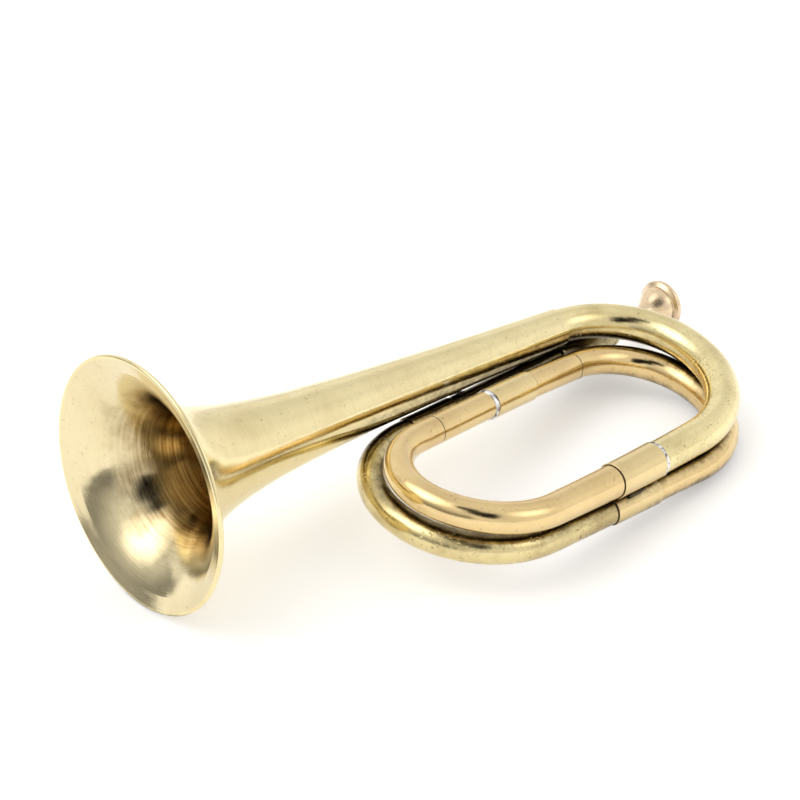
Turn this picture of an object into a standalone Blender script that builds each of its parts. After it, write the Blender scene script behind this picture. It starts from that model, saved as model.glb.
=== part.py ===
"""Small brass bugle: a conical bore wound twice into a flat coil, with a pull-out mouthpiece.

The bore is one centreline. It starts at the bell mouth, runs along the bell tube, goes twice
round the coil and ends at the mouthpiece rim. Every tube, bow and ferrule is a stretch of it.
The instrument is modelled level, with the bell axis on +X and the mouth facing -X, and hangs
from an empty that lays it on its bell rim, its mouthpiece rim and its lower right bow.
"""

import bisect
import math

import bmesh
import bpy
from mathutils import Vector

MM = 0.001

# Sizes are millimetres and degrees. Bell: its mouth, its tail, and the rise and decay
# length of each term of its flare.
MOUTH_RADIUS = 54.0
BELL_LENGTH = 224.3
BELL_TAIL_RADIUS = 7.65
BELL_TAPER = 0.02
FLARE_TERMS = ((23.3, 18.7), (11.9, 82.6), (5.2, 4.7))
WALL = 0.45

# The coil after the bell: straights by length, bows as two bends of (radius, angle).
BELL_BOW = ((40.6, 89.9), (51.9, 84.1))
UPPER_FRONT_LENGTH = 88.4
INNER_LEFT_BOW = ((37.2, 83.5), (32.7, 93.0))
BACK_LENGTH = 107.0
LOWER_RIGHT_BOW = ((34.0, 94.8), (44.6, 91.4))
LOWER_FRONT_LENGTH = 88.1
OUTER_LEFT_BOW = ((41.9, 90.6), (46.9, 86.7))
LEAD_LENGTH = 170.0

# Outer radius of the tubes, which narrow from the bell towards the mouthpiece, though the
# two lower bows swell a little between the straights they join.
UPPER_FRONT_RADIUS = 7.4
INNER_BOW_RADIUS = 6.4
BACK_RADIUS = 6.2
LOWER_BOW_RADIUS = 6.8
LOWER_FRONT_RADIUS = 5.9
OUTER_BOW_RADIUS = 6.5
LEADPIPE_RADIUS = 5.45

# Height of the centreline over the bell axis, at the joints and halfway round the bows.
UPPER_FERRULE_HEIGHT = -2.8
INNER_BOW_HEIGHT = 1.9
BACK_FERRULE_HEIGHT = -5.0
LOWER_BOW_HEIGHT = -15.7
LOWER_FERRULE_HEIGHT = -17.3
OUTER_BOW_HEIGHT = -14.7
LEAD_FERRULE_HEIGHT = -15.6
MOUTHPIECE_HEIGHT = -14.9

# Ferrules: how far each one's middle is along its own straight, and their common size.
UPPER_FERRULE_AT = 40.0
BACK_FERRULE_AT = 59.5
LOWER_FERRULE_AT = 40.5
LEAD_FERRULE_AT = 16.0
FERRULE_LENGTH = 26.0
FERRULE_WALL = 0.35
FERRULE_GAP = 0.25

# Brazed butt seams in the back tube, from the start of its straight.
LEFT_SEAM_AT = 10.5
RIGHT_SEAM_AT = 104.5
BUTT_GAP = 0.3

# Solder: a ring at a ferrule's end, and a bead run into the crevice between two tubes.
RING_LENGTH = 1.2
RING_THICKNESS = 0.3
BEAD_RADIUS = 0.9
BEAD_LENGTH = 12.0
SOLDER_GAP = 0.35

# The two beads between the bell and the leadpipe: distance along the centreline of each.
LEFT_BEAD = (166.0, 1061.0)
RIGHT_BEAD = (206.0, 1101.0)

# Mouthpiece: distances back from its rim face, and radii.
RIM_RADIUS = 11.2
RIM_ROUND = 1.9
RIM_BITE_RADIUS = 8.2
CUP_BACK_RADIUS = 9.3
CUP_BACK_AT = 3.6
NECK_AT = 16.0
NECK_RADIUS = 4.0
SHANK_AT = 37.0
SHANK_RADIUS = 5.2
SHANK_TIP_RADIUS = 4.9
MOUTHPIECE_LENGTH = 58.0
CUP_DEPTH = 9.5
THROAT_RADIUS = 1.8
BORE_TIP_RADIUS = 3.9

# Receiver: the sleeve that takes the shank and covers the end of the leadpipe.
RECEIVER_AT = 38.0
RECEIVER_LENGTH = 36.0
RECEIVER_BORE_RADIUS = 5.85
RECEIVER_WALL = 0.75
LEADPIPE_END_AT = 60.0

# Rolled rim of the bell: its edge curls back round a wire.
WIRE_RADIUS = 0.35
WIRE_GAP = 0.2

# How the bugle lies on the ground, in degrees: the mouthpiece end dips, the back rises.
LYING_PITCH = 5.49
LYING_ROLL = 4.48

TUBE_SIDES = 16
TURNED_SIDES = 40
SMALL_TURNED_SIDES = 24
BEND_STEP = 11.0
STRAIGHT_STEP = 32.0

COLLECTION = "bugle"
BRASS = ((0.74, 0.60, 0.26, 1.0), 0.18)
ROSE_BRASS = ((0.78, 0.56, 0.30, 1.0), 0.2)
PALE_BRASS = ((0.80, 0.63, 0.40, 1.0), 0.25)
SOLDER = ((0.50, 0.51, 0.52, 1.0), 0.35)


# ---------------------------------------------------------------- centreline

ELEMENTS = (
    (BELL_LENGTH, 0.0),
    *BELL_BOW,
    (UPPER_FRONT_LENGTH, 0.0),
    *INNER_LEFT_BOW,
    (BACK_LENGTH, 0.0),
    *LOWER_RIGHT_BOW,
    (LOWER_FRONT_LENGTH, 0.0),
    *OUTER_LEFT_BOW,
    (LEAD_LENGTH, 0.0),
)


def element_starts():
    """Distance along the centreline at which each element starts, and the whole length."""
    starts = [0.0]
    for size, degrees in ELEMENTS:
        length = size * math.radians(degrees) if degrees else size
        starts.append(starts[-1] + length)
    return starts


STARTS = element_starts()
BELL_END, _, UPPER_FRONT, _, INNER_BOW_MIDDLE, BACK = STARTS[1:7]
BACK_END, LOWER_BOW_MIDDLE, LOWER_FRONT, _, OUTER_BOW_MIDDLE, LEAD, RIM_FACE = STARTS[7:14]

UPPER_FERRULE = UPPER_FRONT + UPPER_FERRULE_AT
BACK_FERRULE = BACK + BACK_FERRULE_AT
LOWER_FERRULE = LOWER_FRONT + LOWER_FERRULE_AT
LEAD_FERRULE = LEAD + LEAD_FERRULE_AT
LEFT_SEAM = BACK + LEFT_SEAM_AT
RIGHT_SEAM = BACK + RIGHT_SEAM_AT

HEIGHTS = (
    (0.0, 0.0),
    (BELL_END, 0.0),
    (UPPER_FERRULE, UPPER_FERRULE_HEIGHT),
    (INNER_BOW_MIDDLE, INNER_BOW_HEIGHT),
    (BACK_FERRULE, BACK_FERRULE_HEIGHT),
    (LOWER_BOW_MIDDLE, LOWER_BOW_HEIGHT),
    (LOWER_FERRULE, LOWER_FERRULE_HEIGHT),
    (OUTER_BOW_MIDDLE, OUTER_BOW_HEIGHT),
    (LEAD_FERRULE, LEAD_FERRULE_HEIGHT),
    (RIM_FACE, MOUTHPIECE_HEIGHT),
)

RADII = (
    (0.0, BELL_TAIL_RADIUS),
    (BELL_END, BELL_TAIL_RADIUS),
    (UPPER_FRONT, UPPER_FRONT_RADIUS),
    (INNER_BOW_MIDDLE, INNER_BOW_RADIUS),
    (BACK_END, BACK_RADIUS),
    (LOWER_BOW_MIDDLE, LOWER_BOW_RADIUS),
    (LOWER_FERRULE, LOWER_FRONT_RADIUS),
    (OUTER_BOW_MIDDLE, OUTER_BOW_RADIUS),
    (LEAD_FERRULE, LEADPIPE_RADIUS),
    (RIM_FACE, LEADPIPE_RADIUS),
)


def smooth_between(stations, s):
    """A cubic through stations of (distance, value): level up to the second, straight at the end."""
    xs, ys = zip(*stations)
    steps = [(ys[i + 1] - ys[i]) / (xs[i + 1] - xs[i]) for i in range(len(xs) - 1)]
    slopes = [0.0, 0.0]
    for i in range(2, len(xs) - 1):
        before = xs[i] - xs[i - 1]
        after = xs[i + 1] - xs[i]
        slopes.append((steps[i - 1] * after + steps[i] * before) / (before + after))
    slopes.append(steps[-1])
    i = min(max(bisect.bisect_right(xs, s) - 1, 0), len(xs) - 2)
    span = xs[i + 1] - xs[i]
    t = (s - xs[i]) / span
    start = ys[i] * (1 + 2 * t) + slopes[i] * span * t
    end = ys[i + 1] * (3 - 2 * t) + slopes[i + 1] * span * (t - 1)
    return start * (1 - t) ** 2 + end * t * t


def plan_point(s):
    """The centreline in plan at distance s: bends turn from +X towards -Y."""
    x, y, heading = 0.0, 0.0, 0.0
    for index, (size, degrees) in enumerate(ELEMENTS):
        last = index == len(ELEMENTS) - 1
        end = s if last else min(s, STARTS[index + 1])
        run = end - STARTS[index]
        if degrees:
            turned = heading - run / size
            x += size * (math.sin(heading) - math.sin(turned))
            y -= size * (math.cos(heading) - math.cos(turned))
            heading = turned
        else:
            x += run * math.cos(heading)
            y += run * math.sin(heading)
        if s <= STARTS[index + 1]:
            break
    return x, y


def centre_point(s):
    """The centreline's point at distance s, in metres."""
    return Vector((*plan_point(s), smooth_between(HEIGHTS, s))) * MM


def centre_direction(s):
    return (centre_point(s + 0.5) - centre_point(s - 0.5)).normalized()


def tube_radius(s):
    return smooth_between(RADII, s)


def bell_radius(s):
    flare = sum(rise * math.exp(-s / decay) for rise, decay in FLARE_TERMS)
    return BELL_TAIL_RADIUS + BELL_TAPER * (BELL_LENGTH - s) + flare


def bell_slope(s):
    """How fast the bell's radius falls along its axis."""
    return BELL_TAPER + sum(rise / decay * math.exp(-s / decay) for rise, decay in FLARE_TERMS)


# ---------------------------------------------------------------- modelling helpers


def clear_scene():
    for obj in list(bpy.data.objects):
        bpy.data.objects.remove(obj, do_unlink=True)


def finish_material(name, finish):
    colour, roughness = finish
    material = bpy.data.materials.new(name)
    material.use_nodes = True
    shader = material.node_tree.nodes["Principled BSDF"]
    shader.inputs["Base Color"].default_value = colour
    shader.inputs["Metallic"].default_value = 1.0
    shader.inputs["Roughness"].default_value = roughness
    return material


def add_part(name, data, finish, parent):
    """Links an object with its own material to the collection, hung from parent."""
    part = bpy.data.objects.new(name, data)
    data.materials.append(finish_material(name, finish))
    bpy.data.collections[COLLECTION].objects.link(part)
    part.parent = parent
    return part


def ring_stations(start, end):
    """Distances of a tube's rings: close together in the bends and far apart on the straights."""
    stations = {start, end}
    for index, (size, degrees) in enumerate(ELEMENTS):
        pieces = math.ceil(degrees / BEND_STEP if degrees else size / STRAIGHT_STEP)
        step = (STARTS[index + 1] - STARTS[index]) / pieces
        rings = (STARTS[index] + step * k for k in range(pieces + 1))
        stations.update(s for s in rings if start + 2.0 < s < end - 2.0)
    return sorted(stations)


def tube_along(name, start, end, radius_at, wall, finish, parent):
    """A hollow tube, open at both ends, along the centreline from start to end."""
    curve = bpy.data.curves.new(name, "CURVE")
    curve.dimensions = "3D"
    curve.bevel_depth = MM
    curve.bevel_resolution = (TUBE_SIDES - 4) // 2
    curve.use_fill_caps = False
    stations = ring_stations(start, end)
    spline = curve.splines.new("POLY")
    spline.points.add(len(stations) - 1)
    for point, s in zip(spline.points, stations):
        point.co = (*centre_point(s), 1.0)
        point.radius = radius_at(s)
    tube = add_part(name, curve, finish, parent)
    shell = tube.modifiers.new("wall", "SOLIDIFY")
    shell.thickness = wall * MM
    shell.offset = -1.0
    return tube


def turned_part(name, outline, sides, finish, parent):
    """A closed outline of (radius, height) points turned about the part's own Z axis."""
    mesh = bpy.data.meshes.new(name)
    shape = bmesh.new()
    points = [shape.verts.new((radius * MM, 0.0, height * MM)) for radius, height in outline]
    for first, second in zip(points, points[1:] + points[:1]):
        shape.edges.new((first, second))
    shape.to_mesh(mesh)
    shape.free()
    part = add_part(name, mesh, finish, parent)
    turn = part.modifiers.new("turn", "SCREW")
    turn.steps = sides
    turn.render_steps = sides
    turn.use_merge_vertices = True
    turn.merge_threshold = 0.00001
    turn.use_smooth_shade = True
    return part


def aim(part, origin, direction):
    """Puts a turned part's origin at origin with its own +Z along direction."""
    part.location = origin
    part.rotation_mode = "QUATERNION"
    part.rotation_quaternion = direction.to_track_quat("Z", "X")


def arc_points(centre, radius, first, last, pieces):
    """Points on an arc of (radius, height) between two angles in degrees."""
    angles = [math.radians(first + (last - first) * k / pieces) for k in range(pieces + 1)]
    return [(centre[0] + radius * math.cos(a), centre[1] + radius * math.sin(a)) for a in angles]


# ---------------------------------------------------------------- bell

CURL_RADIUS = WIRE_RADIUS + WIRE_GAP + WALL
CURL_CENTRE = (MOUTH_RADIUS - CURL_RADIUS, -CURL_RADIUS)
CURL_START = 105.0
CURL_END = -165.0
CURL_PIECES = 9
BELL_STATIONS = (2.6, 4.4, 6.6, 9.4, 13.0, 17.5, 23.0, 30.0, 39.0, 51.0, 68.0, 90.0, 118.0, 150.0, 186.0)


def bell_wall_point(s, depth):
    """The bell wall's (radius, height) at distance s, depth in from its outside surface."""
    slope = bell_slope(s)
    along_normal = depth / math.hypot(1.0, slope)
    return bell_radius(s) - along_normal, -s + slope * along_normal


def bell_outline():
    """The bell's wall from mouth to tail outside, back inside, round the curl and into it.

    Heights run towards the mouth face at 0. The curl's chord across the front is flat, and is
    the ring that the bell stands on.
    """
    stations = (*BELL_STATIONS, BELL_END - BUTT_GAP / 2)
    outside = [bell_wall_point(s, 0.0) for s in stations]
    inside = [bell_wall_point(s, WALL) for s in reversed(stations)]
    curl_outside = arc_points(CURL_CENTRE, CURL_RADIUS, CURL_START, CURL_END, CURL_PIECES)
    curl_inside = arc_points(CURL_CENTRE, CURL_RADIUS - WALL, CURL_END, CURL_START, CURL_PIECES)
    return outside + inside + curl_outside + curl_inside


def make_bell(parent):
    mouthwards = -centre_direction(1.0)
    bell = turned_part("bell", bell_outline(), TURNED_SIDES, BRASS, parent)
    aim(bell, centre_point(0.0), mouthwards)
    section = arc_points(CURL_CENTRE, WIRE_RADIUS, 0.0, -300.0, 5)
    wire = turned_part("bell_rim_wire", section, TURNED_SIDES, BRASS, parent)
    aim(wire, centre_point(0.0), mouthwards)


# ---------------------------------------------------------------- coil


def make_coil(parent):
    """The tubes and bows in order from the bell to the receiver. Each ends short of the next."""
    half = BUTT_GAP / 2
    tubes = (
        ("bell_bow", BELL_END + half, UPPER_FERRULE - half, BRASS),
        ("inner_left_bow", UPPER_FERRULE + half, LEFT_SEAM - half, ROSE_BRASS),
        ("back_tube_left", LEFT_SEAM + half, BACK_FERRULE - half, ROSE_BRASS),
        ("back_tube_right", BACK_FERRULE + half, RIGHT_SEAM - half, ROSE_BRASS),
        ("lower_right_bow", RIGHT_SEAM + half, LOWER_FERRULE - half, ROSE_BRASS),
        ("outer_left_bow", LOWER_FERRULE + half, LEAD_FERRULE - half, BRASS),
        ("leadpipe", LEAD_FERRULE + half, RIM_FACE - LEADPIPE_END_AT, BRASS),
    )
    for name, start, end, finish in tubes:
        tube_along(name, start, end, tube_radius, WALL, finish, parent)


def make_ferrules(parent):
    """A sleeve over each soldered joint of the coil."""
    ferrules = (
        ("upper_front_ferrule", UPPER_FERRULE, BRASS),
        ("back_ferrule", BACK_FERRULE, BRASS),
        ("lower_front_ferrule", LOWER_FERRULE, BRASS),
        ("leadpipe_ferrule", LEAD_FERRULE, BRASS),
    )
    for name, middle, finish in ferrules:
        start = middle - FERRULE_LENGTH / 2
        end = middle + FERRULE_LENGTH / 2
        tube_along(name, start, end, ferrule_radius, FERRULE_WALL, finish, parent)


def ferrule_radius(s):
    return tube_radius(s) + FERRULE_GAP + FERRULE_WALL


# ---------------------------------------------------------------- solder


def ring_radius(s):
    return tube_radius(s) + SOLDER_GAP + RING_THICKNESS


def make_solder_rings(parent):
    """Rings of solder against the ferrule ends where it shows."""
    reach = FERRULE_LENGTH / 2 + SOLDER_GAP + RING_LENGTH
    for name, ferrule in (("upper_front_solder", UPPER_FERRULE), ("back_solder", BACK_FERRULE)):
        start = ferrule - reach
        tube_along(name, start, start + RING_LENGTH, ring_radius, RING_THICKNESS, SOLDER, parent)


def crevice_point(first, first_radius, second, second_radius, side):
    """Centre of a bead of solder that nestles against two tubes, on the given side of them."""
    across = second - first
    distance = across.length
    first_reach = (first_radius + BEAD_RADIUS + SOLDER_GAP) * MM
    second_reach = (second_radius + BEAD_RADIUS + SOLDER_GAP) * MM
    along = (distance**2 + first_reach**2 - second_reach**2) / (2 * distance)
    outwards = (side - across * side.dot(across) / distance**2).normalized()
    return first + across * (along / distance) + outwards * math.sqrt(first_reach**2 - along**2)


def solder_bead(name, upper, lower, radius_over_tube, side, parent):
    """A bead between the tubes at two distances along the centreline, running with both."""
    run = (centre_direction(upper) + centre_direction(lower)).normalized()
    first = centre_point(upper)
    second = centre_point(lower)
    second += run * run.dot(first - second)
    first_radius = bell_radius(upper) if upper < BELL_END else tube_radius(upper)
    middle = crevice_point(
        first, first_radius + radius_over_tube, second, tube_radius(lower) + radius_over_tube, side
    )
    curve = bpy.data.curves.new(name, "CURVE")
    curve.dimensions = "3D"
    curve.bevel_depth = BEAD_RADIUS * MM
    curve.bevel_resolution = 2
    curve.use_fill_caps = True
    spline = curve.splines.new("POLY")
    spline.points.add(1)
    for point, way in zip(spline.points, (-0.5, 0.5)):
        point.co = (*(middle + run * (way * BEAD_LENGTH * MM)), 1.0)
    add_part(name, curve, SOLDER, parent)


def make_solder_beads(parent):
    """The beads that hold the two turns of the coil to each other and to the bell."""
    front = Vector((0.0, -1.0, 0.0))
    back = Vector((0.0, 1.0, 0.0))
    over_tube = FERRULE_GAP + FERRULE_WALL
    solder_bead("ferrule_solder", UPPER_FERRULE, LOWER_FERRULE, over_tube, front, parent)
    solder_bead("bell_solder_left", *LEFT_BEAD, 0.0, back, parent)
    solder_bead("bell_solder_right", *RIGHT_BEAD, 0.0, back, parent)


# ---------------------------------------------------------------- mouthpiece


def make_receiver(parent):
    end = RIM_FACE - RECEIVER_AT
    start = end - RECEIVER_LENGTH
    tube_along("mouthpiece_receiver", start, end, receiver_radius, RECEIVER_WALL, BRASS, parent)


def receiver_radius(_):
    return RECEIVER_BORE_RADIUS + RECEIVER_WALL


def mouthpiece_outline():
    """Rounded rim, cup back easing into the neck, shank, then the bore and the cup inside.

    Heights run back from the rim face at 0. The face is flat between the bite and the round.
    """
    rim_centre = (RIM_RADIUS - RIM_ROUND, -RIM_ROUND)
    outside = arc_points(rim_centre, RIM_ROUND, 90.0, -50.0, 7)
    back_pieces = 8
    for k in range(back_pieces + 1):
        u = k / back_pieces
        ease = 0.5 + 0.5 * math.cos(math.pi * u)
        radius = NECK_RADIUS + (CUP_BACK_RADIUS - NECK_RADIUS) * ease
        outside.append((radius, -(CUP_BACK_AT + (NECK_AT - CUP_BACK_AT) * u)))
    outside.append((SHANK_RADIUS, -SHANK_AT))
    outside.append((SHANK_TIP_RADIUS, -MOUTHPIECE_LENGTH))
    inside = [(BORE_TIP_RADIUS, -MOUTHPIECE_LENGTH), (THROAT_RADIUS, -NECK_AT)]
    cup_pieces = 6
    for k in range(cup_pieces + 1):
        angle = math.pi / 2 * k / cup_pieces
        radius = THROAT_RADIUS + (RIM_BITE_RADIUS - THROAT_RADIUS) * math.sin(angle)
        inside.append((radius, -CUP_DEPTH * math.cos(angle)))
    return outside + inside


def make_mouthpiece(parent):
    """The mouthpiece pulls out of the receiver along its own Z axis."""
    mouthpiece = turned_part(
        "mouthpiece", mouthpiece_outline(), SMALL_TURNED_SIDES, PALE_BRASS, parent
    )
    aim(mouthpiece, centre_point(RIM_FACE), centre_direction(RIM_FACE))


# ---------------------------------------------------------------- assembly


def lowest_and_middle(parts):
    """The lowest height of the parts in the world, and the middle of their box in plan."""
    bpy.context.view_layer.update()
    depsgraph = bpy.context.evaluated_depsgraph_get()
    corners = []
    for part in parts:
        evaluated = part.evaluated_get(depsgraph)
        mesh = evaluated.to_mesh()
        corners += [part.matrix_world @ vertex.co for vertex in mesh.vertices]
        evaluated.to_mesh_clear()
    xs, ys, zs = zip(*corners)
    return Vector(((min(xs) + max(xs)) / 2, (min(ys) + max(ys)) / 2, min(zs)))


def main():
    clear_scene()
    bpy.context.scene.collection.children.link(bpy.data.collections.new(COLLECTION))
    lying = bpy.data.objects.new("lying_pose", None)
    bpy.context.scene.collection.objects.link(lying)
    lying.rotation_euler = (math.radians(LYING_ROLL), math.radians(LYING_PITCH), 0.0)
    make_bell(lying)
    make_coil(lying)
    make_ferrules(lying)
    make_solder_rings(lying)
    make_solder_beads(lying)
    make_receiver(lying)
    make_mouthpiece(lying)
    lying.location = -lowest_and_middle(bpy.data.collections[COLLECTION].objects)


main()
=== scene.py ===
"""The looks of a small brass bugle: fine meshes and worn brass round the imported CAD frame.

The bore is one centreline, the same as in the part: it starts at the bell mouth, runs along the
bell, goes twice round the coil and ends at the mouthpiece rim. Distances along it are in mm.
"""

import bisect
import math

import bmesh
import bpy
from mathutils import Euler, Matrix, Vector, noise


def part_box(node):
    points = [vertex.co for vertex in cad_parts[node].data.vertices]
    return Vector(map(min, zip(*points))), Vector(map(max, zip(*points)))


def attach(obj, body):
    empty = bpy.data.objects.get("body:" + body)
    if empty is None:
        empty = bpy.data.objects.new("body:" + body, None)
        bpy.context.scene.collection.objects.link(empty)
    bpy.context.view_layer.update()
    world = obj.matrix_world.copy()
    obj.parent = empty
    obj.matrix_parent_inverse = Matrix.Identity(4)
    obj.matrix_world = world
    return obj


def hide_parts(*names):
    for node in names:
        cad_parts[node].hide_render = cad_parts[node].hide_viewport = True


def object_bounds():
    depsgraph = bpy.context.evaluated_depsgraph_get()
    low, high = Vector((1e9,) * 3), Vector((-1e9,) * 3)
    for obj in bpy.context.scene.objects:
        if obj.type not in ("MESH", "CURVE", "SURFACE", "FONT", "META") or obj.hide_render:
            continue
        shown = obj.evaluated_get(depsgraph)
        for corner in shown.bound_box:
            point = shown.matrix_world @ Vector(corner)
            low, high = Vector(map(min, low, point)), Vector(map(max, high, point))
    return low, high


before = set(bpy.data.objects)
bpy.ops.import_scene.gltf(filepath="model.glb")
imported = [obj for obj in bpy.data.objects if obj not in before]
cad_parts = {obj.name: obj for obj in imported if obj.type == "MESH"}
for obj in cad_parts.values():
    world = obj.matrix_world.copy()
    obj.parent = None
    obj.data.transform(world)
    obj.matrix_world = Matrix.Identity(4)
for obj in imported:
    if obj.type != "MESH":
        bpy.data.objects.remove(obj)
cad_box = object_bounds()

MM = 0.001

# The part's dimensions, in mm and degrees. A bow is two bends of (radius, angle).
MOUTH_RADIUS = 54.0
BELL_LENGTH = 224.3
BELL_TAIL_RADIUS = 7.65
BELL_TAPER = 0.02
FLARE_TERMS = ((23.3, 18.7), (11.9, 82.6), (5.2, 4.7))
CURL_RADIUS = 1.0
WIRE_RADIUS = 0.35
WALL = 0.45
BELL_BOW = ((40.6, 89.9), (51.9, 84.1))
INNER_LEFT_BOW = ((37.2, 83.5), (32.7, 93.0))
LOWER_RIGHT_BOW = ((34.0, 94.8), (44.6, 91.4))
OUTER_LEFT_BOW = ((41.9, 90.6), (46.9, 86.7))
UPPER_FRONT_LENGTH = 88.4
BACK_LENGTH = 107.0
LOWER_FRONT_LENGTH = 88.1
LEAD_LENGTH = 170.0

UPPER_FRONT_RADIUS = 7.4
INNER_BOW_RADIUS = 6.4
BACK_RADIUS = 6.2
LOWER_BOW_RADIUS = 6.8
LOWER_FRONT_RADIUS = 5.9
OUTER_BOW_RADIUS = 6.5
LEADPIPE_RADIUS = 5.45

UPPER_FERRULE_HEIGHT = -2.8
INNER_BOW_HEIGHT = 1.9
BACK_FERRULE_HEIGHT = -5.0
LOWER_BOW_HEIGHT = -15.7
LOWER_FERRULE_HEIGHT = -17.3
OUTER_BOW_HEIGHT = -14.7
LEAD_FERRULE_HEIGHT = -15.6
MOUTHPIECE_HEIGHT = -14.9

UPPER_FERRULE_AT = 40.0
BACK_FERRULE_AT = 59.5
LOWER_FERRULE_AT = 40.5
LEAD_FERRULE_AT = 16.0
LEFT_SEAM_AT = 10.5
RIGHT_SEAM_AT = 104.5
FERRULE_HALF = 13.0
FERRULE_STAND = 0.6
FERRULE_LIP = 0.3
FERRULE_INSIDE_GAP = 0.1

# Mouthpiece and receiver: distances back from the rim face, and radii.
RIM_RADIUS = 11.2
RIM_ROUND = 1.9
CUP_BACK_AT = 3.6
CUP_BACK_RADIUS = 9.3
NECK_AT = 16.0
NECK_RADIUS = 4.0
GROOVE_DEPTH = 0.22
SHANK_AT = 37.0
SHANK_RADIUS = 5.2
MOUTHPIECE_LENGTH = 58.0
BORE_TIP_RADIUS = 3.9
BORE_START_AT = 57.0
THROAT_AT = 15.0
THROAT_RADIUS = 1.8
CUP_RADIUS = 8.2
CUP_DEPTH = 9.85
CUP_EDGE_AT = 0.25
RECEIVER_AT = 38.0
RECEIVER_LENGTH = 36.0
RECEIVER_RADIUS = 6.6
RECEIVER_BEAD_RADIUS = 6.95
SHANK_SOCKET_RADIUS = 5.3
SHANK_SOCKET_DEPTH = 18.0
LEADPIPE_SOCKET_RADIUS = 5.75
LEADPIPE_END_AT = 60.0

# How the bugle lies on the ground.
LYING_PITCH = 5.49
LYING_ROLL = 4.48
BELL_MOUTH_AT = Vector((-0.146110, 0.027069, 0.053812))
LYING = Matrix.Translation(BELL_MOUTH_AT) @ Euler(
    (math.radians(LYING_ROLL), math.radians(LYING_PITCH), 0.0)
).to_matrix().to_4x4()

# Fineness of the visual meshes.
TUBE_SIDES = 56
SLEEVE_SIDES = 72
BELL_SIDES = 192
BELL_RINGS = 110
MOUTHPIECE_SIDES = 128
TUBE_STEP = 2.2
EASED_EDGE = 0.12


# ---------------------------------------------------------------- centreline


ELEMENTS = (
    (BELL_LENGTH, 0.0),
    *BELL_BOW,
    (UPPER_FRONT_LENGTH, 0.0),
    *INNER_LEFT_BOW,
    (BACK_LENGTH, 0.0),
    *LOWER_RIGHT_BOW,
    (LOWER_FRONT_LENGTH, 0.0),
    *OUTER_LEFT_BOW,
    (LEAD_LENGTH, 0.0),
)


def element_starts():
    """Distance along the centreline at which each element starts, and the whole length."""
    starts = [0.0]
    for size, degrees in ELEMENTS:
        starts.append(starts[-1] + (size * math.radians(degrees) if degrees else size))
    return starts


STARTS = element_starts()
BELL_END, _, UPPER_FRONT, _, INNER_BOW_MIDDLE, BACK = STARTS[1:7]
BACK_END, LOWER_BOW_MIDDLE, LOWER_FRONT, _, OUTER_BOW_MIDDLE, LEAD, RIM_FACE = STARTS[7:14]
UPPER_FERRULE = UPPER_FRONT + UPPER_FERRULE_AT
BACK_FERRULE = BACK + BACK_FERRULE_AT
LOWER_FERRULE = LOWER_FRONT + LOWER_FERRULE_AT
LEAD_FERRULE = LEAD + LEAD_FERRULE_AT
LEFT_SEAM = BACK + LEFT_SEAM_AT
RIGHT_SEAM = BACK + RIGHT_SEAM_AT

HEIGHTS = (
    (0.0, 0.0),
    (BELL_END, 0.0),
    (UPPER_FERRULE, UPPER_FERRULE_HEIGHT),
    (INNER_BOW_MIDDLE, INNER_BOW_HEIGHT),
    (BACK_FERRULE, BACK_FERRULE_HEIGHT),
    (LOWER_BOW_MIDDLE, LOWER_BOW_HEIGHT),
    (LOWER_FERRULE, LOWER_FERRULE_HEIGHT),
    (OUTER_BOW_MIDDLE, OUTER_BOW_HEIGHT),
    (LEAD_FERRULE, LEAD_FERRULE_HEIGHT),
    (RIM_FACE, MOUTHPIECE_HEIGHT),
)

RADII = (
    (0.0, BELL_TAIL_RADIUS),
    (BELL_END, BELL_TAIL_RADIUS),
    (UPPER_FRONT, UPPER_FRONT_RADIUS),
    (INNER_BOW_MIDDLE, INNER_BOW_RADIUS),
    (BACK_END, BACK_RADIUS),
    (LOWER_BOW_MIDDLE, LOWER_BOW_RADIUS),
    (LOWER_FERRULE, LOWER_FRONT_RADIUS),
    (OUTER_BOW_MIDDLE, OUTER_BOW_RADIUS),
    (LEAD_FERRULE, LEADPIPE_RADIUS),
    (RIM_FACE, LEADPIPE_RADIUS),
)


def smooth_between(stations, s):
    """A smooth curve through (distance, value) stations, read at distance s."""
    xs, ys = zip(*stations)
    steps = [(ys[i + 1] - ys[i]) / (xs[i + 1] - xs[i]) for i in range(len(xs) - 1)]
    slopes = [0.0, 0.0]
    for i in range(2, len(xs) - 1):
        before = xs[i] - xs[i - 1]
        after = xs[i + 1] - xs[i]
        slopes.append((steps[i - 1] * after + steps[i] * before) / (before + after))
    slopes.append(steps[-1])
    i = min(max(bisect.bisect_right(xs, s) - 1, 0), len(xs) - 2)
    span = xs[i + 1] - xs[i]
    t = (s - xs[i]) / span
    start = ys[i] * (1 + 2 * t) + slopes[i] * span * t
    end = ys[i + 1] * (3 - 2 * t) + slopes[i + 1] * span * (t - 1)
    return start * (1 - t) ** 2 + end * t * t


def plan_point(s):
    """The centreline's (x, y) seen from above, in mm, with the bell mouth at the origin."""
    x, y, heading = 0.0, 0.0, 0.0
    for index, (size, degrees) in enumerate(ELEMENTS):
        last = index == len(ELEMENTS) - 1
        end = s if last else min(s, STARTS[index + 1])
        run = end - STARTS[index]
        if degrees:
            turned = heading - run / size
            x += size * (math.sin(heading) - math.sin(turned))
            y -= size * (math.cos(heading) - math.cos(turned))
            heading = turned
        else:
            x += run * math.cos(heading)
            y += run * math.sin(heading)
        if s <= STARTS[index + 1]:
            break
    return x, y


def centre(s):
    """The centreline's point in the world, in metres, at distance s in mm."""
    return LYING @ (Vector((*plan_point(s), smooth_between(HEIGHTS, s))) * MM)


def direction(s):
    """The centreline's direction in the world, towards the lips."""
    return (centre(s + 0.5) - centre(s - 0.5)).normalized()


def tube_radius(s):
    return smooth_between(RADII, s)


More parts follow.
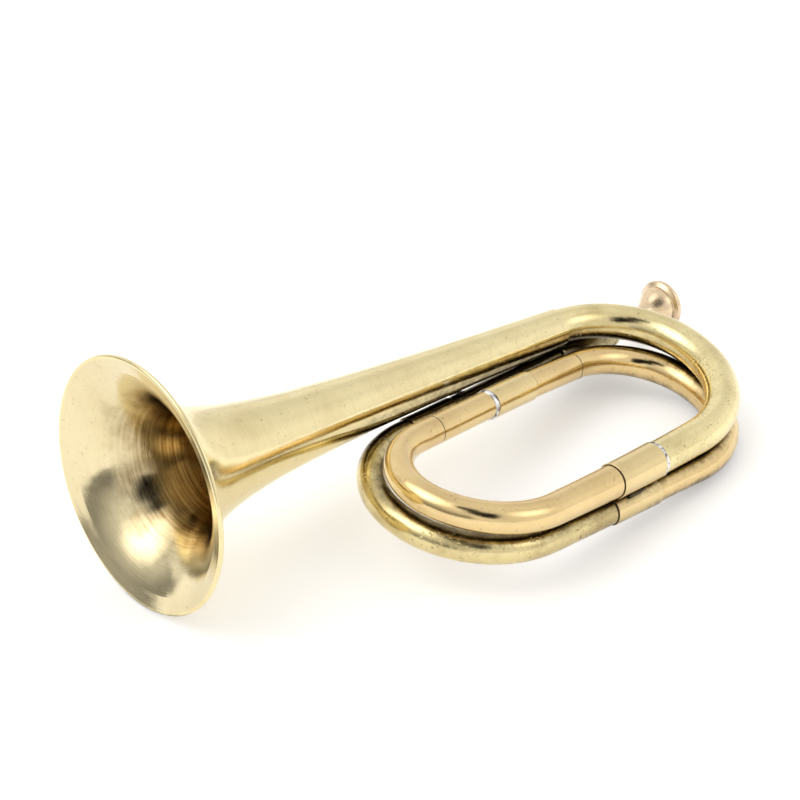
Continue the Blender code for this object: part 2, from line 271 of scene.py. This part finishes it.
def bell_radius(s):
    """The bell's outer radius at distance s from its mouth."""
    flare = sum(rise * math.exp(-s / decay) for rise, decay in FLARE_TERMS)
    return BELL_TAIL_RADIUS + BELL_TAPER * (BELL_LENGTH - s) + flare


def bell_wall_point(s, depth):
    """The bell wall's (radius, height) at distance s, depth in from its outside surface."""
    slope = BELL_TAPER + sum(rise / decay * math.exp(-s / decay) for rise, decay in FLARE_TERMS)
    along_normal = depth / math.hypot(1.0, slope)
    return bell_radius(s) - along_normal, -s + slope * along_normal


# ---------------------------------------------------------------- mesh helpers


def closed_rings(name, rings, uvs, smooth_angle=40.0, inside=range(0)):
    """A closed skin over rings of points, joined ring to ring and the last to the first.

    uvs holds each ring's distance along, in metres; the other coordinate is the share of a turn.
    The faces after the rings numbered in inside take the second material.
    """
    sides = len(rings[0])
    shape = bmesh.new()
    layer = shape.loops.layers.uv.new("run")
    verts = [[shape.verts.new(p) for p in ring] for ring in rings]
    count = len(rings)
    for i in range(count):
        j = (i + 1) % count
        along = (uvs[i], uvs[j] if j else uvs[i])
        for k in range(sides):
            m = (k + 1) % sides
            face = shape.faces.new((verts[i][k], verts[i][m], verts[j][m], verts[j][k]))
            face.material_index = int(i in inside)
            around = (k / sides, (k + 1) / sides)
            corners = (
                (along[0], around[0]),
                (along[0], around[1]),
                (along[1], around[1]),
                (along[1], around[0]),
            )
            for loop, uv in zip(face.loops, corners):
                loop[layer].uv = uv
    bmesh.ops.recalc_face_normals(shape, faces=shape.faces)
    if shape.calc_volume(signed=True) < 0:
        bmesh.ops.reverse_faces(shape, faces=shape.faces)
    mesh = bpy.data.meshes.new(name)
    shape.to_mesh(mesh)
    shape.free()
    mesh.shade_smooth()
    mesh.set_sharp_from_angle(angle=math.radians(smooth_angle))
    piece = bpy.data.objects.new(name, mesh)
    bpy.context.scene.collection.objects.link(piece)
    return piece


def swept(name, outline, sides, wobble=None):
    """A ring-shaped section carried along the centreline.

    outline is a closed loop of (distance, radius) in mm. wobble(distance, angle) adds to the radius.
    """
    rings = []
    frames = {}
    for s, radius in outline:
        if s not in frames:
            run = direction(s)
            side = run.cross(Vector((0.0, 0.0, 1.0))).normalized()
            frames[s] = (centre(s), side, run.cross(side))
        middle, side, up = frames[s]
        ring = []
        for k in range(sides):
            angle = 2 * math.pi * k / sides
            reach = radius + (wobble(s, angle) if wobble else 0.0)
            ring.append(middle + (side * math.cos(angle) + up * math.sin(angle)) * (reach * MM))
        rings.append(ring)
    return closed_rings(name, rings, [s * MM for s, _ in outline])


def turned(name, outline, origin, axis, sides, smooth_angle=40.0, inside=range(0)):
    """A closed outline of (radius, height) in mm turned about axis through origin."""
    place = Matrix.Translation(origin) @ axis.to_track_quat("Z", "X").to_matrix().to_4x4()
    angles = [2 * math.pi * k / sides for k in range(sides)]
    rings = [
        [place @ (Vector((r * math.cos(a), r * math.sin(a), h)) * MM) for a in angles]
        for r, h in outline
    ]
    return closed_rings(name, rings, [h * MM for _, h in outline], smooth_angle, inside)


def arc(middle, radius, first, last, pieces):
    """Points on an arc about middle between two angles in degrees."""
    angles = [math.radians(first + (last - first) * k / pieces) for k in range(pieces + 1)]
    return [(middle[0] + radius * math.cos(a), middle[1] + radius * math.sin(a)) for a in angles]


def even_steps(start, end, step):
    """Numbers from start to end, evenly spaced by no more than step."""
    count = max(1, math.ceil((end - start) / step))
    return [start + (end - start) * k / count for k in range(count + 1)]


# ---------------------------------------------------------------- materials


class Nodes:
    """A node tree with one method for each kind of node added to it."""

    def __init__(self, tree):
        self.tree = tree

    def add(self, kind, **inputs):
        node = self.tree.nodes.new(kind)
        for key, value in inputs.items():
            self.put(node.inputs[key.replace("_", " ")], value)
        return node

    def put(self, socket, value):
        if isinstance(value, bpy.types.NodeSocket):
            self.tree.links.new(value, socket)
        else:
            socket.default_value = value

    def coordinates(self, kind="Object"):
        return self.add("ShaderNodeTexCoord").outputs[kind]

    def scaled(self, vector, scale):
        node = self.add("ShaderNodeMapping", Vector=vector, Scale=scale)
        return node.outputs["Vector"]

    def noise(self, vector, scale, detail=3.0, roughness=0.55):
        node = self.add("ShaderNodeTexNoise", Vector=vector, Scale=scale)
        node.inputs["Detail"].default_value = detail
        node.inputs["Roughness"].default_value = roughness
        return node.outputs["Fac"]

    def spots(self, vector, scale):
        node = self.add("ShaderNodeTexVoronoi", Vector=vector, Scale=scale)
        return node.outputs["Distance"]

    def ramp(self, value, low, high, to_low=0.0, to_high=1.0):
        node = self.add("ShaderNodeMapRange", Value=value)
        names = ("From Min", "From Max", "To Min", "To Max")
        for name, number in zip(names, (low, high, to_low, to_high)):
            node.inputs[name].default_value = number
        return node.outputs["Result"]

    def maths(self, operation, first, second=0.0):
        node = self.tree.nodes.new("ShaderNodeMath")
        node.operation = operation
        self.put(node.inputs[0], first)
        self.put(node.inputs[1], second)
        return node.outputs[0]

    def mix(self, factor, first, second):
        node = self.tree.nodes.new("ShaderNodeMix")
        node.data_type = "RGBA"
        self.put(node.inputs["Factor"], factor)
        for key, value in (("A", first), ("B", second)):
            socket = [s for s in node.inputs if s.name == key and s.type == "RGBA"][0]
            self.put(socket, value if isinstance(value, bpy.types.NodeSocket) else (*value, 1.0))
        return [s for s in node.outputs if s.type == "RGBA"][0]

    def bump(self, height, strength, distance, normal=None):
        node = self.add("ShaderNodeBump", Height=height, Strength=strength, Distance=distance)
        if normal:
            self.put(node.inputs["Normal"], normal)
        return node.outputs["Normal"]


# Crevice darkening: grime, plus painted shade between neighbouring pieces where shadow falls.
CREVICE_GRIME_AND_SHADE = (0.075, 0.050, 0.022)
GRIME_AND_SHADE_REACH = 0.018
GRIME_AND_SHADE_STRENGTH = 0.92
# Painted shade deep inside the bell: its dark browns, and the depths in metres where it starts and
# is full.
DEPTH_SHADE_BROWNS = ((0.10, 0.055, 0.022), (0.42, 0.27, 0.09))
DEPTH_SHADE_STARTS = -0.009
DEPTH_SHADE_FULL = -0.024


def new_material(name):
    """A material, the methods for its node tree, and its shader."""
    material = bpy.data.materials.new(name)
    material.use_nodes = True
    tree = material.node_tree
    return material, Nodes(tree), tree.nodes["Principled BSDF"]


def with_grime_and_painted_shade(n, place, tone):
    """Paints shade and grime into the crevices between neighbouring pieces, with a ragged edge."""
    node = n.tree.nodes.new("ShaderNodeAmbientOcclusion")
    node.samples = 8
    node.inputs["Distance"].default_value = GRIME_AND_SHADE_REACH
    ragged = n.ramp(n.noise(place, 260.0, 4.0, 0.7), 0.3, 0.7, -0.16, 0.16)
    crevice = n.ramp(n.maths("ADD", node.outputs["AO"], ragged), 0.80, 0.40)
    return n.mix(n.maths("MULTIPLY", crevice, GRIME_AND_SHADE_STRENGTH), tone, CREVICE_GRIME_AND_SHADE)


def painted_shade_in_depth(n, place, run, tone):
    """Paints shade into the depth of the bell, dark brown in streaks that run round it."""
    depth = n.add("ShaderNodeSeparateXYZ", Vector=run).outputs["X"]
    wander = n.ramp(n.noise(place, 60.0, 4.0, 0.6), 0.3, 0.7, -0.007, 0.007)
    depth_shade = n.ramp(n.maths("ADD", depth, wander), DEPTH_SHADE_STARTS, DEPTH_SHADE_FULL)
    streaks = n.ramp(n.noise(n.scaled(run, (900.0, 3.0, 1.0)), 1.0, 3.0), 0.35, 0.65, 0.5, 1.0)
    brown = n.mix(n.noise(place, 90.0, 4.0, 0.6), *DEPTH_SHADE_BROWNS)
    return n.mix(n.maths("MULTIPLY", depth_shade, streaks), tone, brown)


def brass_tone(n, place, run, colour, stained, stain, spun):
    """Clouds and dark flecks of stain, and fine stained lines round a spun piece."""
    clouds = n.noise(place, 38.0, 6.0, 0.65)
    tone = n.mix(n.ramp(clouds, 0.42, 0.68, 0.0, stain), colour, stained)
    flecks = n.noise(place, 520.0, 4.0, 0.65)
    dark = tuple(c * 0.35 for c in stained)
    tone = n.mix(n.ramp(flecks, 0.62, 0.70, 0.0, stain), tone, dark)
    if spun:
        fine = n.noise(n.scaled(run, (1500.0, 4.0, 1.0)), 1.0, 4.0, 0.7)
        tone = n.mix(n.ramp(fine, 0.56, 0.72, 0.0, 0.4), tone, stained)
    return tone


def brass_bumps(n, place, lines, scratches, grain, pits):
    """Scratches, a fine grain, slow waves and, in patches, pits."""
    normal = n.bump(lines, scratches, 0.00015)
    normal = n.bump(n.noise(place, 1100.0, 3.0, 0.65), grain, 0.0002, normal)
    normal = n.bump(n.noise(place, 60.0, 2.0, 0.5), 0.25, 0.0008, normal)
    if pits:
        holes = n.ramp(n.spots(place, 620.0), 0.12, 0.3)
        unpitted = n.ramp(n.noise(place, 60.0, 2.0), 0.50, 0.58, 1.0, 0.0)
        normal = n.bump(n.maths("MAXIMUM", holes, unpitted), pits, 0.0003, normal)
    return normal


def brass(
    name, colour, stained, roughness, dull, stain, scratches, grain, pits=0.0, spun=False, deep=False
):
    """Worn brass, with scratches round a spun piece and mostly along any other.

    A deep piece gets painted shade, dark brown, away from its mouth, and the others have grime and
    painted shade between them.
    """
    material, n, shader = new_material(name)
    place = n.coordinates("Object")
    run = n.coordinates("UV")
    tone = brass_tone(n, place, run, colour, stained, stain, spun)
    # Painted shade: deep in a deep piece, and with grime in the crevices of the others.
    tone = painted_shade_in_depth(n, place, run, tone) if deep else with_grime_and_painted_shade(n, place, tone)
    n.put(shader.inputs["Base Color"], tone)
    shader.inputs["Metallic"].default_value = 1.0

    lines_at = n.scaled(run, (2600.0, 9.0, 1.0) if spun else (70.0, 240.0, 1.0))
    lines = n.noise(lines_at, 1.0, 4.0, 0.7)
    patches = n.ramp(n.noise(place, 55.0, 4.0, 0.6), 0.42, 0.66)
    rough = n.maths("ADD", roughness, n.maths("MULTIPLY", patches, dull))
    rough = n.maths("ADD", rough, n.maths("MULTIPLY", n.ramp(lines, 0.5, 0.7), dull))
    n.put(shader.inputs["Roughness"], rough)
    n.put(shader.inputs["Normal"], brass_bumps(n, place, lines, scratches, grain, pits))
    return material


def solder_material():
    """Grey soft solder, rough and stained."""
    material, n, shader = new_material("soft_solder")
    place = n.coordinates("Object")
    stains = n.ramp(n.noise(place, 420.0, 3.0), 0.45, 0.6)
    n.put(shader.inputs["Base Color"], n.mix(stains, (0.86, 0.86, 0.86), (0.20, 0.19, 0.18)))
    shader.inputs["Metallic"].default_value = 1.0
    n.put(shader.inputs["Roughness"], n.ramp(n.noise(place, 500.0), 0.3, 0.7, 0.25, 0.5))
    n.put(shader.inputs["Normal"], n.bump(n.noise(place, 700.0), 0.4, 0.0002))
    return material


def tarnish_material():
    """The dark line of old flux and dirt left in a joint."""
    material, n, shader = new_material("joint_tarnish")
    place = n.coordinates("Object")
    tone = n.mix(n.noise(place, 500.0), (0.030, 0.022, 0.012), (0.14, 0.10, 0.05))
    n.put(shader.inputs["Base Color"], tone)
    shader.inputs["Metallic"].default_value = 0.4
    n.put(shader.inputs["Roughness"], n.ramp(n.noise(place, 400.0), 0.3, 0.7, 0.45, 0.75))
    n.put(shader.inputs["Normal"], n.bump(n.noise(place, 800.0), 0.4, 0.0002))
    return material


BELL_BRASS = brass(
    "bell_brass", (0.87, 0.75, 0.43), (0.62, 0.49, 0.22),
    roughness=0.075, dull=0.11, stain=0.35, scratches=0.16, grain=0.08, spun=True,
)
BELL_INSIDE = brass(
    "bell_inside_brass", (0.79, 0.68, 0.42), (0.60, 0.48, 0.25),
    roughness=0.075, dull=0.09, stain=0.28, scratches=0.2, grain=0.08, spun=True, deep=True,
)
BOW_BRASS = brass(
    "bow_brass", (0.87, 0.75, 0.41), (0.52, 0.41, 0.18),
    roughness=0.07, dull=0.15, stain=0.6, scratches=0.14, grain=0.2, pits=0.8,
)
COIL_BRASS = brass(
    "coil_brass", (0.79, 0.60, 0.30), (0.60, 0.40, 0.18),
    roughness=0.06, dull=0.10, stain=0.4, scratches=0.14, grain=0.12,
)
LOWER_BRASS = brass(
    "lower_brass", (0.74, 0.62, 0.32), (0.36, 0.27, 0.12),
    roughness=0.08, dull=0.16, stain=0.8, scratches=0.14, grain=0.18, pits=0.6,
)
FERRULE_BRASS = brass(
    "ferrule_brass", (0.79, 0.63, 0.33), (0.62, 0.43, 0.20),
    roughness=0.06, dull=0.09, stain=0.3, scratches=0.14, grain=0.1,
)
MOUTHPIECE_BRASS = brass(
    "mouthpiece_brass", (0.82, 0.64, 0.42), (0.60, 0.43, 0.26),
    roughness=0.17, dull=0.12, stain=0.4, scratches=0.12, grain=0.2, spun=True,
)
SOLDER = solder_material()
TARNISH = tarnish_material()


def finish_piece(piece, material, slot, body, *nodes):
    """Gives a piece its material and body, and hides the CAD nodes that it stands in for; slot is
    not used.
    """
    piece.data.materials.append(material)
    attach(piece, body)
    if nodes:
        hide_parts(*nodes)


# ---------------------------------------------------------------- bell


def make_bell():
    """The bell with its edge rolled back over the wire, and the wire."""
    start, end = 2.45, BELL_END - 0.25
    crowding = 1.9
    stations = [start + (end - start) * (k / BELL_RINGS) ** crowding for k in range(BELL_RINGS + 1)]
    outside = [bell_wall_point(s, 0.0) for s in stations]
    inside = [bell_wall_point(s, WALL) for s in reversed(stations)]
    curl_centre = (MOUTH_RADIUS - CURL_RADIUS, -CURL_RADIUS)
    outline = (
        outside
        + inside
        + arc(curl_centre, CURL_RADIUS, 125.0, -165.0, 28)
        + arc(curl_centre, CURL_RADIUS - WALL, -165.0, 125.0, 20)
    )
    mouthwards = -direction(1.0)
    inner_rings = range(len(outside), 2 * len(outside))
    bell = turned("bell_tube", outline, centre(0.0), mouthwards, BELL_SIDES, inside=inner_rings)
    finish_piece(bell, BELL_BRASS, "bell_brass", "horn", "bell")
    bell.data.materials.append(BELL_INSIDE)
    section = arc(curl_centre, WIRE_RADIUS, 0.0, -330.0, 11)
    wire = turned("rim_wire", section, centre(0.0), mouthwards, BELL_SIDES)
    finish_piece(wire, BELL_BRASS, "bell_brass", "horn", "bell_rim_wire")


# ---------------------------------------------------------------- coil


# Where one tube ends and the next begins, with half the gap between them.
TUBE_JOINTS = (
    (BELL_END, 0.08),
    (UPPER_FERRULE, 0.15),
    (LEFT_SEAM, 0.1),
    (BACK_FERRULE, 0.15),
    (RIGHT_SEAM, 0.1),
    (LOWER_FERRULE, 0.15),
    (LEAD_FERRULE, 0.15),
    (RIM_FACE - LEADPIPE_END_AT, 0.0),
)
TUBES = (
    ("upper_right_bow", "bell_bow", BOW_BRASS, "bow_brass"),
    ("inner_left_tube", "inner_left_bow", COIL_BRASS, "coil_brass"),
    ("back_left_tube", "back_tube_left", COIL_BRASS, "coil_brass"),
    ("back_right_tube", "back_tube_right", COIL_BRASS, "coil_brass"),
    ("lower_right_tube", "lower_right_bow", COIL_BRASS, "coil_brass"),
    ("outer_left_tube", "outer_left_bow", LOWER_BRASS, "bow_brass"),
    ("lead_tube", "leadpipe", LOWER_BRASS, "bow_brass"),
)


def tube_outline(start, end):
    """Outside from start to end and inside back, with the four edges eased."""
    stations = even_steps(start + EASED_EDGE, end - EASED_EDGE, TUBE_STEP)
    return (
        [(start, tube_radius(start) - EASED_EDGE)]
        + [(s, tube_radius(s)) for s in stations]
        + [(end, tube_radius(end) - EASED_EDGE), (end, tube_radius(end) - WALL + EASED_EDGE)]
        + [(s, tube_radius(s) - WALL) for s in reversed(stations)]
        + [(start, tube_radius(start) - WALL + EASED_EDGE)]
    )


def hand_worked(s, angle):
    """Small unevenness of a hand-bent tube, in mm."""
    spot = Vector((s * 0.035, math.cos(angle) * 0.7, math.sin(angle) * 0.7))
    return 0.07 * noise.noise(spot)


def make_tubes():
    for tube, (start, after), (end, before) in zip(TUBES, TUBE_JOINTS, TUBE_JOINTS[1:]):
        name, node, material, slot = tube
        piece = swept(name, tube_outline(start + after, end - before), TUBE_SIDES, hand_worked)
        finish_piece(piece, material, slot, "horn", node)


def ferrule_outline(middle):
    """A thin sleeve with rounded lips at both ends."""
    first, last = middle - FERRULE_HALF, middle + FERRULE_HALF
    lip = arc((FERRULE_LIP, -FERRULE_LIP), FERRULE_LIP, 180.0, 90.0, 6)
    sleeve = (
        [(first + x, y) for x, y in lip]
        + [(s, 0.0) for s in even_steps(first + 1.0, last - 1.0, 3.0)]
        + [(last - x, y) for x, y in reversed(lip)]
    )
    outside = [(s, tube_radius(s) + FERRULE_STAND + y) for s, y in sleeve]
    inside = [(s, tube_radius(s) + FERRULE_INSIDE_GAP) for s in even_steps(first, last, 4.0)]
    return outside + inside[::-1]


def make_ferrules():
    ferrules = (
        ("ferrule_upper_front", "upper_front_ferrule", UPPER_FERRULE),
        ("ferrule_back", "back_ferrule", BACK_FERRULE),
        ("ferrule_lower_front", "lower_front_ferrule", LOWER_FERRULE),
        ("ferrule_leadpipe", "leadpipe_ferrule", LEAD_FERRULE),
    )
    for name, node, middle in ferrules:
        piece = swept(name, ferrule_outline(middle), SLEEVE_SIDES)
        finish_piece(piece, FERRULE_BRASS, "ferrule_brass", "horn", node)


# Solder rings and dark lines: where each starts along the centreline, its length and its rise.
SOLDER_RINGS = (
    ("solder_upper_front", "upper_front_solder", UPPER_FERRULE - FERRULE_HALF - 2.05, 2.1, 0.56),
    ("solder_back", "back_solder", BACK_FERRULE - FERRULE_HALF - 2.45, 2.1, 0.54),
)
DARK_LINES = (
    ("line_upper_front", UPPER_FERRULE + FERRULE_HALF - 0.05, 0.45, 0.22),
    ("line_back", BACK_FERRULE + FERRULE_HALF - 0.05, 0.45, 0.22),
    ("line_back_left", BACK_FERRULE - FERRULE_HALF - 0.4, 0.45, 0.3),
    ("line_lower_front", LOWER_FERRULE + FERRULE_HALF - 0.05, 0.5, 0.25),
    ("line_lower_front_right", LOWER_FERRULE - FERRULE_HALF - 0.3, 0.35, 0.2),
    ("line_left_seam", LEFT_SEAM - 0.15, 0.3, 0.03),
    ("line_right_seam", RIGHT_SEAM - 0.15, 0.3, 0.03),
    ("line_bell_tail", BELL_END - 0.2, 0.3, -0.02),
)
RING_UNEVENNESS = 0.2
LINE_UNEVENNESS = 0.06
SUNK = 0.05


def fillet(name, at, length, rise, uneven):
    """An uneven ring round the tube, sunk a little into it, from distance at."""

    def lumps(s, angle):
        spot = Vector((s * 0.5, math.cos(angle) * 3.0, math.sin(angle) * 3.0))
        return uneven * noise.noise(spot)

    radius = tube_radius(at)
    profile = ((0.15, 0.45), (0.4, 0.85), (0.75, 1.0), (1.0, 0.9))
    outline = (
        [(at, radius - SUNK)]
        + [(at + length * along, radius + rise * up) for along, up in profile]
        + [(at + length, radius - SUNK)]
    )
    return swept(name, outline, SLEEVE_SIDES, lumps)


def make_joint_lines():
    """Solder rings at the ends of two ferrules, and dark lines where flux and dirt stayed."""
    for name, node, at, length, rise in SOLDER_RINGS:
        ring = fillet(name, at, length, rise, RING_UNEVENNESS)
        finish_piece(ring, SOLDER, "solder", "horn", node)
    for name, at, length, rise in DARK_LINES:
        line = fillet(name, at, length, rise, LINE_UNEVENNESS)
        finish_piece(line, TARNISH, "solder", "horn")


# ---------------------------------------------------------------- solder beads


def bead(name, node, material, seed, fat):
    """A lumpy run of solder in the box of its CAD bead, which it fills if fat is 1."""
    low, high = (Vector(corner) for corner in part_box(node))
    middle = (low + high) / 2
    size = high - low
    shape = bmesh.new()
    bmesh.ops.create_icosphere(shape, subdivisions=4, radius=0.5)
    for vert in shape.verts:
        lump = 1.0 + 0.22 * noise.noise(vert.co * 4.0 + Vector((seed, 0.0, 0.0)))
        across = fat * lump
        along = 0.6 + 0.18 * lump
        x, y, z = vert.co
        vert.co = middle + Vector((x * size.x * along, y * size.y * across, z * size.z * across))
    mesh = bpy.data.meshes.new(name)
    shape.to_mesh(mesh)
    shape.free()
    mesh.shade_smooth()
    piece = bpy.data.objects.new(name, mesh)
    bpy.context.scene.collection.objects.link(piece)
    finish_piece(piece, material, "solder", "horn", node)


def make_beads():
    """The bead between the front ferrules, black with dirt, and the two behind the bell."""
    bead("bead_ferrules", "ferrule_solder", TARNISH, seed=1.0, fat=0.55)
    bead("bead_bell_left", "bell_solder_left", SOLDER, seed=2.0, fat=1.0)
    bead("bead_bell_right", "bell_solder_right", SOLDER, seed=3.0, fat=1.0)


# ---------------------------------------------------------------- mouthpiece and receiver


def make_receiver():
    """A sleeve with a bead at its open end, over the leadpipe's end and the shank."""
    end = RIM_FACE - RECEIVER_AT
    start = end - RECEIVER_LENGTH
    step_in = end - SHANK_SOCKET_DEPTH
    outside = [
        (start, RECEIVER_RADIUS - 0.7),
        (start + 0.1, RECEIVER_RADIUS - 0.25),
        (start + 0.45, RECEIVER_RADIUS),
        *[(s, RECEIVER_RADIUS) for s in even_steps(start + 1.2, end - 3.0, 3.0)],
        (end - 2.6, RECEIVER_RADIUS),
        (end - 2.3, RECEIVER_BEAD_RADIUS - 0.1),
        (end - 1.3, RECEIVER_BEAD_RADIUS),
        (end - 0.3, RECEIVER_BEAD_RADIUS - 0.1),
        (end, RECEIVER_BEAD_RADIUS - 0.4),
    ]
    inside = [
        (end, SHANK_SOCKET_RADIUS + 0.15),
        (end - 0.4, SHANK_SOCKET_RADIUS),
        (step_in, SHANK_SOCKET_RADIUS),
        (step_in - 3.0, LEADPIPE_SOCKET_RADIUS),
        *[(s, LEADPIPE_SOCKET_RADIUS) for s in even_steps(start + 0.5, end - 22.5, 4.0)[::-1]],
    ]
    piece = swept("receiver", outside + inside, SLEEVE_SIDES)
    finish_piece(piece, BOW_BRASS, "bow_brass", "horn", "mouthpiece_receiver")


def funnel_outline():
    """The back of the cup down to the neck, with a turned groove behind the rim."""
    outline = []
    for k in range(33):
        u = k / 32
        ease = 0.5 + 0.5 * math.cos(math.pi * u)
        radius = NECK_RADIUS + (CUP_BACK_RADIUS - NECK_RADIUS) * ease
        if k in (1, 2):
            radius -= GROOVE_DEPTH
        outline.append((radius, -(CUP_BACK_AT + (NECK_AT - CUP_BACK_AT) * u)))
    return outline


def cup_outline():
    """The bowl of the cup, from the throat out to the edge that the lips rest on."""
    throat = THROAT_RADIUS + 0.3
    outline = []
    for k in range(1, 21):
        angle = math.pi / 2 * k / 20
        radius = throat + (CUP_RADIUS - throat) * math.sin(angle)
        outline.append((radius, -CUP_EDGE_AT - (CUP_DEPTH - CUP_EDGE_AT) * math.cos(angle)))
    return outline


def straight_taper(first, last, pieces):
    """Points from one (radius, height) to another, without the first."""
    steps = [k / pieces for k in range(1, pieces + 1)]
    return [tuple(a + (b - a) * t for a, b in zip(first, last)) for t in steps]


def mouthpiece_outline():
    """Cushion rim, funnel, shank, tip, bore, throat, cup and the inner edge of the rim."""
    tip = -MOUTHPIECE_LENGTH
    rim = arc((RIM_RADIUS - RIM_ROUND, -RIM_ROUND), RIM_ROUND, 90.0, -40.0, 16)
    shank = straight_taper((NECK_RADIUS, -NECK_AT), (SHANK_RADIUS, -SHANK_AT), 8)
    end = [
        (SHANK_RADIUS - 0.25, tip + 0.5),
        (SHANK_RADIUS - 0.45, tip),
        (BORE_TIP_RADIUS + 0.15, tip),
        (BORE_TIP_RADIUS, tip + 0.4),
    ]
    bore = straight_taper((BORE_TIP_RADIUS, -BORE_START_AT), (THROAT_RADIUS, -THROAT_AT), 12)
    throat = [(THROAT_RADIUS, -12.0), (THROAT_RADIUS + 0.1, -10.6)]
    bite = [(CUP_RADIUS + 0.15, -0.06), (CUP_RADIUS + 0.4, 0.0)]
    return rim + funnel_outline() + shank + end + bore + throat + cup_outline() + bite


def make_mouthpiece():
    place = (centre(RIM_FACE), direction(RIM_FACE))
    piece = turned("mouthpiece_body", mouthpiece_outline(), *place, MOUTHPIECE_SIDES, 50.0)
    finish_piece(piece, MOUTHPIECE_BRASS, "mouthpiece_brass", "mouthpiece", "mouthpiece")


# ---------------------------------------------------------------- studio

# Brightness of the room. Each light and dark corner has an azimuth and an elevation, and the
# angles from its middle within which it is full and beyond which it is gone, in degrees. Each
# light ends with its strength.
ROOM = 0.90
SOFT_LIGHTS = ((150.0, 52.0, 4.0, 30.0, 2.2), (-62.0, 40.0, 3.0, 22.0, 1.0))
DARK_CORNERS = (
    (-122.0, 46.0, 13.0, 17.0),
    (-118.0, 32.0, 8.0, 11.0),
    (-140.0, 66.0, 9.0, 11.0),
)

# The grey wall, in degrees.
GREY_WALL = 0.36
WALL_AZIMUTH = 165.0
WALL_HALF_WIDTH = 55.0
WALL_SOLID_TO = 10.0
WALL_TOP = 36.0

FLOOR_SIZE = 6.0
FLOOR_GLOW = 0.28
FLOOR_DROP = 0.0002

CAMERA_AT = (-0.71189, -0.83756, 0.75422)
CAMERA_TURNED = (57.084, 1.989, -40.289)
CAMERA_LENS = 142.7


def make_floor():
    """A plain white floor, lit a little from within so that it meets the white world unseen."""
    below = cad_box[0][2] - FLOOR_DROP
    bpy.ops.mesh.primitive_plane_add(size=FLOOR_SIZE, location=(0.0, 0.0, below))
    floor = bpy.context.object
    floor.name = "floor"
    material, _, shader = new_material("floor_white")
    shader.inputs["Base Color"].default_value = (0.93, 0.93, 0.93, 1.0)
    shader.inputs["Roughness"].default_value = 0.8
    shader.inputs["Specular IOR Level"].default_value = 0.1
    shader.inputs["Emission Color"].default_value = (1.0, 1.0, 1.0, 1.0)
    shader.inputs["Emission Strength"].default_value = FLOOR_GLOW
    floor.data.materials.append(material)


def heading(azimuth, elevation):
    """A unit vector: azimuth in degrees from +X towards +Y, elevation over the floor."""
    a, e = math.radians(azimuth), math.radians(elevation)
    return (math.cos(a) * math.cos(e), math.sin(a) * math.cos(e), math.sin(e))


def alignment(n, way, azimuth, elevation):
    """The cosine of the angle between way and a direction."""
    dot = n.tree.nodes.new("ShaderNodeVectorMath")
    dot.operation = "DOT_PRODUCT"
    n.put(dot.inputs[0], way)
    dot.inputs[1].default_value = heading(azimuth, elevation)
    return dot.outputs["Value"]


def glow(n, way, azimuth, elevation, inner, outer):
    """1 within inner degrees of a direction, fading to 0 at outer degrees."""
    angle = n.maths("ARCCOSINE", alignment(n, way, azimuth, elevation))
    return n.ramp(angle, math.radians(outer), math.radians(inner))


def grey_wall(n, way):
    """1 on the low grey wall on the bell's side, with straight sides and a soft top."""
    ahead = alignment(n, way, WALL_AZIMUTH, 0.0)
    beside = alignment(n, way, WALL_AZIMUTH + 90.0, 0.0)
    azimuth = n.maths("ABSOLUTE", n.maths("ARCTAN2", beside, ahead))
    gone, full = math.radians(WALL_HALF_WIDTH + 1.0), math.radians(WALL_HALF_WIDTH - 1.0)
    across = n.ramp(azimuth, gone, full)
    height = n.add("ShaderNodeSeparateXYZ", Vector=way).outputs["Z"]
    top, solid = math.sin(math.radians(WALL_TOP)), math.sin(math.radians(WALL_SOLID_TO))
    return n.maths("MULTIPLY", across, n.ramp(height, top, solid))


def make_world():
    """The studio that the brass mirrors: pale walls, soft lights, a grey wall and dark corners."""
    world = bpy.data.worlds.new("studio")
    bpy.context.scene.world = world
    world.use_nodes = True
    n = Nodes(world.node_tree)
    way = n.coordinates("Generated")
    room = n.ramp(n.noise(way, 1.6, 2.0), 0.3, 0.7, ROOM * 0.85, ROOM * 1.1)
    wall = n.maths("MULTIPLY", grey_wall(n, way), ROOM - GREY_WALL)
    room = n.maths("SUBTRACT", room, wall)
    for *place, strength in SOFT_LIGHTS:
        light = n.maths("MULTIPLY", glow(n, way, *place), strength)
        room = n.maths("ADD", room, light)
    for place in DARK_CORNERS:
        lit = n.maths("SUBTRACT", 1.03, glow(n, way, *place))
        room = n.maths("MULTIPLY", room, lit)
    background = n.tree.nodes["Background"]
    background.inputs["Color"].default_value = (1.0, 0.99, 0.98, 1.0)
    n.put(background.inputs["Strength"], room)


def make_camera():
    data = bpy.data.cameras.new("camera")
    data.lens = CAMERA_LENS
    data.sensor_width = 36.0
    data.clip_end = 20.0
    camera = bpy.data.objects.new("camera", data)
    camera.location = CAMERA_AT
    camera.rotation_euler = [math.radians(angle) for angle in CAMERA_TURNED]
    bpy.context.scene.collection.objects.link(camera)
    bpy.context.scene.camera = camera


bpy.context.scene.view_settings.view_transform = "Standard"
make_camera()
make_world()
make_floor()
make_bell()
make_tubes()
make_ferrules()
make_joint_lines()
make_beads()
make_receiver()
make_mouthpiece()
